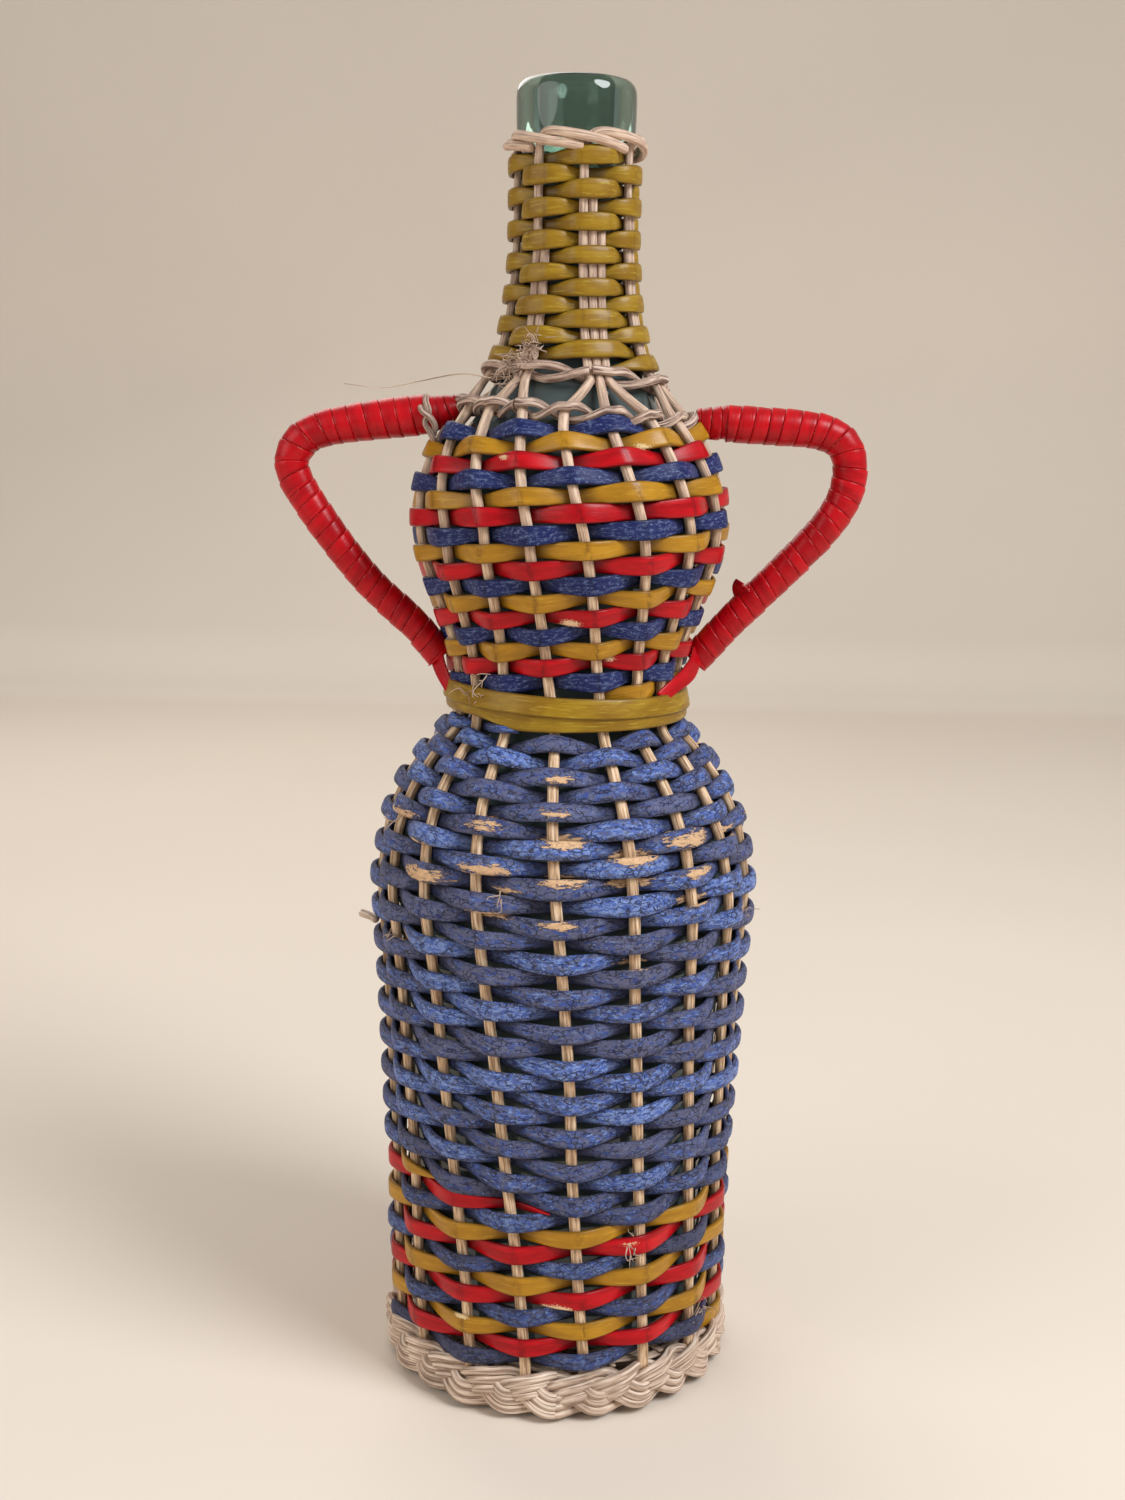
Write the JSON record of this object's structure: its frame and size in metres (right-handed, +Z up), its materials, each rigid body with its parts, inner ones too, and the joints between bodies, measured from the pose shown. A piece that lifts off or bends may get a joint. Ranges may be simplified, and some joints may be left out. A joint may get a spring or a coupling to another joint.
{
  "type": "wicker-cased glass bottle",
  "caption": "Glass bottle with a cork mouth, cased in woven willow with a waist, a plaited foot and two bound side handles; holds and pours drink.",
  "frame": {"origin": "on the bottle's axis, at the height of the underside of the plaited foot", "axes": "+Z up along the bottle's axis; -Y is the front seen in the picture; the handles lie along X"},
  "size_m": [0.1514, 0.1012, 0.33],
  "materials": {
    "green_glass": "gloss",
    "natural_willow": "bare, worn",
    "plait_willow": "bare, worn",
    "blue_willow": "matt paint, worn",
    "blue_strip": "matt paint, worn",
    "red_strip": "satin paint",
    "ochre_strip": "satin paint",
    "olive_strip": "satin paint"
  },
  "bodies": {
    "root": {"glass_bottle": "green_glass", "woven_base": "plait_willow", "foot_plait_1": "plait_willow", "foot_plait_2": "plait_willow", "foot_plait_3": "plait_willow", "stake_01": "natural_willow", "stake_02": "natural_willow", "stake_03": "natural_willow", "stake_04": "natural_willow", "stake_05": "natural_willow", "stake_06": "natural_willow", "stake_07": "natural_willow", "stake_08": "natural_willow", "stake_09": "natural_willow", "stake_10": "natural_willow", "stake_11": "natural_willow", "stake_12": "natural_willow", "stake_13": "natural_willow", "stake_14": "natural_willow", "stake_15": "natural_willow", "stake_16": "natural_willow", "stake_17": "natural_willow", "body_blue_weaver": "blue_willow", "foot_red_weaver": "red_strip", "foot_ochre_weaver": "ochre_strip", "waist_band": "olive_strip", "bulb_blue_weaver": "blue_strip", "bulb_red_weaver": "red_strip", "bulb_ochre_weaver": "ochre_strip", "shoulder_twining_1": "natural_willow", "shoulder_twining_2": "natural_willow", "neck_twining_1": "natural_willow", "neck_twining_2": "natural_willow", "neck_weaver": "olive_strip", "left_handle_core": "natural_willow", "left_handle_wrap": "red_strip", "left_handle_tie": "natural_willow", "right_handle_core": "natural_willow", "right_handle_wrap": "red_strip", "right_handle_tie": "natural_willow"}
  },
  "joints": []
}
